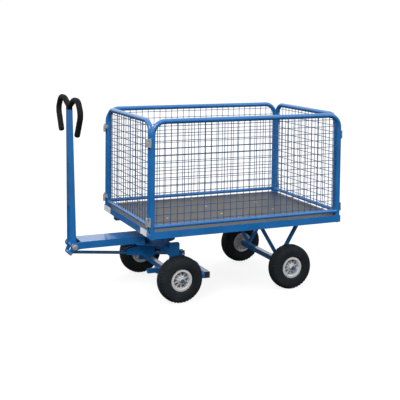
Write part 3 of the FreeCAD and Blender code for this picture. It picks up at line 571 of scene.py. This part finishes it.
def make_wire_panel(node, along, body):
    """Round welded wires in place of the flat CAD grid. along is 0 for X or 1 for Y."""
    low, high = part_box(node)
    centre = (Vector(low) + Vector(high)) / 2.0
    half_span = (high[along] - low[along]) / 2.0
    bend = 56.0 * MM
    pitch = 40.0 * MM
    bury = 2.5 * MM
    offset = 1.55 * MM
    wire = 1.95 * MM
    facing = 1 - along
    outward = 1.0 if centre[facing] > 0.0 else -1.0
    mesh = bmesh.new()

    def spot(position, z, depth):
        made = Vector((0.0, 0.0, z))
        made[along] = centre[along] + position
        made[facing] = centre[facing] + outward * depth
        return made

    def arc_limit(position, straight):
        """How far past the straight part the corner arc still leaves room."""
        over = abs(position) - straight
        if over <= 0.0:
            return bend
        return math.sqrt(max(bend * bend - over * over, 0.0))

    for column in range(-int(half_span / pitch), int(half_span / pitch) + 1):
        position = column * pitch
        top = high[2] - bend + arc_limit(position, half_span - bend) + bury
        ends = [spot(position, low[2] - bury, offset), spot(position, top, offset)]
        sweep(mesh, ends, [wire, wire], 10)
    rows = int((high[2] - low[2]) / pitch)
    first = (high[2] + low[2] - rows * pitch) / 2.0
    for row in range(rows + 1):
        z = first + row * pitch
        reach = half_span - bend + arc_limit(z - (high[2] - bend), 0.0) + bury
        if z < high[2] - bend:
            reach = half_span + bury
        sweep(mesh, [spot(-reach, z, -offset), spot(reach, z, -offset)], [wire, wire], 10)
    piece = new_piece(node + "_wires", mesh, WIRE, body, 50.0)
    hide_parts(node)


POST_RADIUS = 14.0 * MM
RAIL_HEIGHT = 451.5 * MM
RAIL_WELD_RADIUS = 11.1 * MM
RAIL_RADIUS = 11.0 * MM


def make_rail_welds(node, along, body):
    """Weld rings where a wall's bottom rail meets its two posts."""
    low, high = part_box(node)
    centre = (Vector(low) + Vector(high)) / 2.0
    facing = 1 - along
    mesh = bmesh.new()
    for end in (-1, 1):
        edge = high[along] if end > 0 else low[along]
        points = []
        for step in range(24):
            angle = 2.0 * math.pi * step / 24
            spot = Vector((0.0, 0.0, RAIL_HEIGHT + RAIL_WELD_RADIUS * math.sin(angle)))
            spot[facing] = centre[facing] + RAIL_WELD_RADIUS * math.cos(angle)
            chord = POST_RADIUS ** 2 - (RAIL_RADIUS * math.cos(angle)) ** 2
            saddle = POST_RADIUS - math.sqrt(max(chord, 0.0))
            spot[along] = edge - end * (2.0 * POST_RADIUS - saddle * 0.8)
            points.append(spot)
        weld_bead(mesh, points, closed=True)
    new_piece(node + "_welds", mesh, PAINT, body, 60.0)


# ------------------------------------------------------------------ handle and drawbar


def grip_route(side):
    """Centreline of one foam grip, from the upright out, over and down to its tip."""
    centre_x = node_centre("grip_right").x
    corners = [(2.0, 1080.0), (95.0, 1120.0), (175.0, 1122.0), (230.0, 1051.0), (162.0, 935.5)]
    points = [Vector((centre_x, side * y * MM, z * MM)) for y, z in corners]
    return rounded_route(points, [80.0 * MM, 60.0 * MM, 50.0 * MM], 10)


def make_grip(name, side):
    """Foam sleeve with a rounded tip, faint moulding rings and a slightly uneven surface."""
    route = grip_route(side)
    dense = []
    for start, end in zip(route, route[1:]):
        steps = max(1, int((end - start).length / (4.0 * MM)))
        for step in range(steps):
            dense.append(start.lerp(end, step / steps))
    dense.append(route[-1])
    radius = 16.45 * MM
    radii = []
    for index in range(len(dense)):
        wave = 0.12 * MM * math.sin(index * 0.9) + 0.08 * MM * math.sin(index * 2.3)
        ring = -0.5 * MM if index % 12 == 6 else 0.0
        radii.append(radius - 0.25 * MM + wave + ring)
    heading = (dense[-1] - dense[-2]).normalized()
    tip = dense[-1]
    for degrees in (20, 40, 58, 74, 86):
        angle = math.radians(degrees)
        dense.append(tip + heading * (9.0 * MM * math.sin(angle)))
        radii.append(radius * (0.45 + 0.55 * math.cos(angle)))
    mesh = bmesh.new()
    sweep(mesh, dense, radii, 28)
    piece = new_piece(name + "_foam", mesh, FOAM, "handle", 60.0)
    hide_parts(name)


BOOT_SECTIONS = (
    (1061.0, 12.6, 16.2), (1067.0, 13.4, 16.3), (1075.0, 15.2, 16.4), (1087.0, 17.0, 15.0), (1095.0, 12.0, 9.0),
)


def make_grip_collar():
    """Black rubber boot where the two grips meet the handle's blades."""
    x = node_centre("grip_right").x
    mesh = bmesh.new()
    rings = []
    for z, half_y, half_x in BOOT_SECTIONS:
        ring = []
        for step in range(24):
            angle = 2.0 * math.pi * step / 24
            c, s = math.cos(angle), math.sin(angle)
            round_x = math.copysign(abs(c) ** 0.45, c) * half_x * MM
            round_y = math.copysign(abs(s) ** 0.45, s) * half_y * MM
            ring.append(mesh.verts.new((x + round_x, round_y, z * MM)))
        rings.append(ring)
    for ring_a, ring_b in zip(rings, rings[1:]):
        for step in range(24):
            following = (step + 1) % 24
            mesh.faces.new((ring_a[step], ring_a[following], ring_b[following], ring_b[step]))
    mesh.faces.new(list(reversed(rings[0])))
    mesh.faces.new(rings[-1])
    new_piece("grip_boot", mesh, FOAM, "handle", 50.0)


def rounded_plate(mesh, centre, right, up, half_width, half_height, corner, thickness):
    """Thin plate with rounded corners, standing on centre along right x up."""
    normal = right.cross(up).normalized()
    outline = []
    for quarter in range(4):
        sign_x = 1.0 if quarter in (0, 3) else -1.0
        sign_y = 1.0 if quarter in (0, 1) else -1.0
        for step in range(5):
            angle = math.radians(90.0 * quarter + 22.5 * step)
            x = sign_x * (half_width - corner) + corner * math.cos(angle)
            y = sign_y * (half_height - corner) + corner * math.sin(angle)
            outline.append(centre + right * x + up * y)
    base = [mesh.verts.new(point) for point in outline]
    face = [mesh.verts.new(point + normal * thickness) for point in outline]
    size = len(outline)
    for step in range(size):
        following = (step + 1) % size
        mesh.faces.new((base[step], base[following], face[following], face[step]))
    mesh.faces.new(list(reversed(base)))
    mesh.faces.new(face)


def make_label_plates():
    """Two blank plates on the front rail, each with a thin raised border and two rivets."""
    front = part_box("end_rail_front")[0][0]
    for name, y0, y1 in (("plate_left", -339.0, -245.0), ("plate_right", 281.0, 389.0)):
        centre = Vector((front, (y0 + y1) / 2.0 * MM, 407.5 * MM))
        right = Vector((0.0, -1.0, 0.0))
        up = Vector((0.0, 0.0, 1.0))
        half = (y1 - y0) / 2.0 * MM
        mesh = bmesh.new()
        rounded_plate(mesh, centre, right, up, half, 17.0 * MM, 3.0 * MM, 0.8 * MM)
        border = rounded_route([
            centre + right * x * half * 0.95 + up * z * 15.4 * MM + Vector((-0.8 * MM, 0.0, 0.0))
            for x, z in ((-1, -1), (1, -1), (1, 1), (-1, 1))
        ], [2.0 * MM, 2.0 * MM])
        sweep(mesh, border, [0.45 * MM] * len(border), 6, closed=True)
        new_piece(name, mesh, PLATE, "chassis")
        mesh = bmesh.new()
        for end in (-1.0, 1.0):
            base = centre + right * end * half * 0.86
            stations = [base - Vector((depth * MM, 0, 0)) for depth in (0.7, 1.2, 1.9)]
            sweep(mesh, stations, [2.3 * MM, 2.2 * MM, 1.2 * MM], 14)
        new_piece(name + "_rivets", mesh, ZINC, "chassis")


STRUT_SPREAD = 137.0


def rectangle(x, half_x, y, half_y, z):
    """Level rectangle about a centre, as four corners in order."""
    low_x, high_x, low_y, high_y = x - half_x, x + half_x, y - half_y, y + half_y
    return [Vector((a, b, z)) for a, b in ((low_x, low_y), (high_x, low_y), (high_x, high_y), (low_x, high_y))]


def make_frame_welds():
    """Weld beads on the chassis: rear struts, turntable plate, corner joints."""
    mesh = bmesh.new()
    shift = platform_centre_x()
    for side in (-1.0, 1.0):
        y = side * 193.0 * MM
        for end in (-1.0, 1.0):
            x = shift + (REAR_AXLE_X + end * STRUT_SPREAD) * MM
            weld_bead(mesh, rectangle(x, 10.8 * MM, y, 9.2 * MM, 367.4 * MM), True)
        x = shift + REAR_AXLE_X * MM
        weld_bead(mesh, rectangle(x, 10.6 * MM, y, 9.2 * MM, 145.6 * MM), True)
    for side in (-1.0, 1.0):
        for edge in (-220.2, -179.8):
            y = side * -edge * MM
            points = [Vector((shift + x * MM, y, 368.0 * MM)) for x in (-518.0, -270.0)]
            weld_bead(mesh, points)
    for x in (-570.0, 570.0):
        for side in (-1.0, 1.0):
            y = side * 370.0 * MM
            corner_x = math.copysign(600.0, x)
            seam = ((x, 388.2), (x, 387.9), (corner_x, 387.9))
            weld_bead(mesh, [Vector((shift + a * MM, y, z * MM)) for a, z in seam])
    new_piece("chassis_welds", mesh, PAINT, "chassis", 60.0)


LEG_SEAM = ((-426.4, 245.0), (-426.4, 285.4), (-366.0, 285.4))
AXLE_SEAM = ((-409.3, 114.8), (-378.7, 114.8), (-378.7, 145.3), (-409.3, 145.3))
STUB_WELD_RADIUS = 14.3


def make_bogie_welds():
    """Weld beads on the bogie: legs to bolster and axle, arm to gusset, gusset to bolster."""
    mesh = bmesh.new()
    shift = platform_centre_x()
    for side in (-1.0, 1.0):
        y = side * 239.6 * MM
        weld_bead(mesh, [Vector((shift + x * MM, y, z * MM)) for x, z in LEG_SEAM])
        weld_bead(mesh, [Vector((shift + x * MM, y, z * MM)) for x, z in AXLE_SEAM], True)
        stub = []
        for step in range(20):
            angle = 2.0 * math.pi * step / 20
            x = shift + FRONT_AXLE_X * MM + STUB_WELD_RADIUS * MM * math.cos(angle)
            z = (AXLE_HEIGHT + STUB_WELD_RADIUS * math.sin(angle)) * MM
            stub.append(Vector((x, side * 248.3 * MM, z)))
        weld_bead(mesh, stub, True)
        arm = [Vector((shift + x * MM, side * 70.3 * MM, 285.2 * MM)) for x in (-556.0, -508.5)]
        weld_bead(mesh, arm)
    for ends in ((-168.0, -40.0), (40.0, 168.0)):
        weld_bead(mesh, [Vector((shift - 426.3 * MM, y * MM, 284.9 * MM)) for y in ends])
    for y in (-22.2, 22.2):
        weld_bead(mesh, [Vector((shift + x * MM, y * MM, 278.8 * MM)) for x in (-466.0, -427.0)])
    new_piece("bogie_welds", mesh, PAINT, "bogie", 60.0)


def make_handle_welds():
    """Weld beads along the handle's front web."""
    mesh = bmesh.new()
    shift = platform_centre_x()
    height = HANDLE_TOP - PIVOT_HEIGHT
    for side in (-1.0, 1.0):
        points = []
        for z in (522.0, 700.0, 900.0, 1050.0):
            share = (z - PIVOT_HEIGHT) / height
            x = PIVOT_X - 16.0 * share - 14.5
            y = side * (38.0 - 30.5 * share + 2.8)
            points.append(Vector((shift + x * MM, y * MM, z * MM)))
        weld_bead(mesh, points, radius=1.2 * MM)
    new_piece("handle_welds", mesh, PAINT, "handle", 60.0)


# ------------------------------------------------------------------ studio


COVE_INNER_RADIUS = 14.0
COVE_CURVE = 4.0
COVE_HEIGHT = 12.0
FLOOR_DROP = 0.0004


def make_floor():
    """Pale floor that curves up into a wall all round, like a studio cove."""
    outline = [(COVE_INNER_RADIUS, 0.0)]
    for degrees in range(10, 91, 10):
        angle = math.radians(degrees)
        radius = COVE_INNER_RADIUS + COVE_CURVE * math.sin(angle)
        outline.append((radius, COVE_CURVE - COVE_CURVE * math.cos(angle)))
    outline.append((COVE_INNER_RADIUS + COVE_CURVE, COVE_HEIGHT))
    mesh = bmesh.new()
    steps = 96
    rings = []
    for radius, z in outline:
        ring = []
        for step in range(steps):
            angle = 2.0 * math.pi * step / steps
            ring.append(mesh.verts.new((radius * math.cos(angle), radius * math.sin(angle), z - FLOOR_DROP)))
        rings.append(ring)
    mesh.faces.new(rings[0])
    for ring_a, ring_b in zip(rings, rings[1:]):
        for step in range(steps):
            following = (step + 1) % steps
            mesh.faces.new((ring_a[step], ring_a[following], ring_b[following], ring_b[step]))
    data = bpy.data.meshes.new("floor")
    mesh.to_mesh(data)
    mesh.free()
    floor = bpy.data.objects.new("floor", data)
    bpy.context.scene.collection.objects.link(floor)
    floor.data.materials.append(floor_material())
    floor.visible_diffuse = False
    floor.visible_glossy = False
    floor.visible_shadow = False


def make_light(name, place, target, size, power):
    """Round soft light that faces a target."""
    data = bpy.data.lights.new(name, "AREA")
    data.shape = "DISK"
    data.size = size
    data.energy = power
    light = bpy.data.objects.new(name, data)
    light.location = place
    direction = Vector(target) - Vector(place)
    light.rotation_euler = direction.to_track_quat("-Z", "Y").to_euler()
    bpy.context.scene.collection.objects.link(light)


SKY_LEVELS = ((0.42, 0.05), (0.5, 0.34), (0.56, 0.62), (0.64, 0.92), (0.9, 1.0))
SKY_STRENGTH = 1.25


def make_world():
    """Soft sky: bright overhead, weaker at the horizon and dim below, so undersides stay dark."""
    world = bpy.data.worlds.new("studio_world")
    world.use_nodes = True
    tree = world.node_tree
    coords = tree.nodes.new("ShaderNodeTexCoord")
    split = tree.nodes.new("ShaderNodeSeparateXYZ")
    tree.links.new(coords.outputs["Generated"], split.inputs["Vector"])
    level = tree.nodes.new("ShaderNodeValToRGB")
    level.color_ramp.elements[0].position = SKY_LEVELS[0][0]
    level.color_ramp.elements[1].position = SKY_LEVELS[-1][0]
    for position, _ in SKY_LEVELS[1:-1]:
        level.color_ramp.elements.new(position)
    for element, (_, brightness) in zip(level.color_ramp.elements, SKY_LEVELS):
        element.color = (brightness, brightness, brightness, 1.0)
    height = tree.nodes.new("ShaderNodeMapRange")
    height.inputs["From Min"].default_value = -1.0
    tree.links.new(split.outputs["Z"], height.inputs["Value"])
    tree.links.new(height.outputs["Result"], level.inputs["Fac"])
    background = tree.nodes["Background"]
    background.inputs["Strength"].default_value = SKY_STRENGTH
    tree.links.new(level.outputs["Color"], background.inputs["Color"])
    bpy.context.scene.world = world


def make_studio():
    """Floor, two soft lights and the sky, shown without a film look."""
    make_floor()
    make_light("key", (-3.2, -3.4, 4.6), (0.1, 0.0, 0.4), 2.6, 150.0)
    make_light("fill", (4.2, -4.0, 3.2), (0.2, 0.0, 0.5), 3.2, 35.0)
    make_world()
    bpy.context.scene.view_settings.view_transform = "Standard"
    bpy.context.scene.view_settings.look = "None"


CAMERA_PLACE = (-2.036, -4.5672, 1.5123)
CAMERA_AZIMUTH = -23.741
CAMERA_ELEVATION = 3.427
CAMERA_ROLL = 0.622
CAMERA_LENS = 76.13
CAMERA_SHIFT = (0.021, -0.2994)


def make_camera():
    """Camera at the photograph's viewing angle."""
    azimuth = math.radians(CAMERA_AZIMUTH)
    elevation = math.radians(CAMERA_ELEVATION)
    roll = math.radians(CAMERA_ROLL)
    back = Vector((
        math.sin(azimuth) * math.cos(elevation),
        -math.cos(azimuth) * math.cos(elevation),
        math.sin(elevation),
    ))
    level = (-back).cross(Vector((0.0, 0.0, 1.0))).normalized()
    upright = level.cross(-back).normalized()
    right = level * math.cos(roll) + upright * math.sin(roll)
    up = upright * math.cos(roll) - level * math.sin(roll)
    turn = Matrix((right, up, back)).transposed().to_4x4()
    data = bpy.data.cameras.new("camera")
    data.sensor_width = 36.0
    data.lens = CAMERA_LENS
    data.shift_x, data.shift_y = CAMERA_SHIFT
    camera = bpy.data.objects.new("camera", data)
    camera.matrix_world = Matrix.Translation(CAMERA_PLACE) @ turn
    bpy.context.scene.collection.objects.link(camera)
    bpy.context.scene.camera = camera


dress_cad_nodes()
for end in ("front", "rear"):
    for hand in ("left", "right"):
        wheel = end + "_" + hand
        make_tyre(wheel + "_tyre", wheel + "_wheel")
        make_rim(wheel + "_rim", wheel + "_wheel")
        make_valve(wheel + "_rim", wheel + "_wheel")
make_axle_ends()
for hand in ("left", "right"):
    make_wire_panel("side_wall_" + hand + "_mesh", 0, "chassis")
    make_rail_welds("side_wall_" + hand + "_frame", 0, "chassis")
for end in ("front", "rear"):
    make_wire_panel(end + "_wall_mesh", 1, end + "_wall")
    make_rail_welds(end + "_wall_frame", 1, end + "_wall")
make_grip("grip_left", -1.0)
make_grip("grip_right", 1.0)
make_grip_collar()
make_label_plates()
make_frame_welds()
make_bogie_welds()
make_handle_welds()
make_studio()
make_camera()
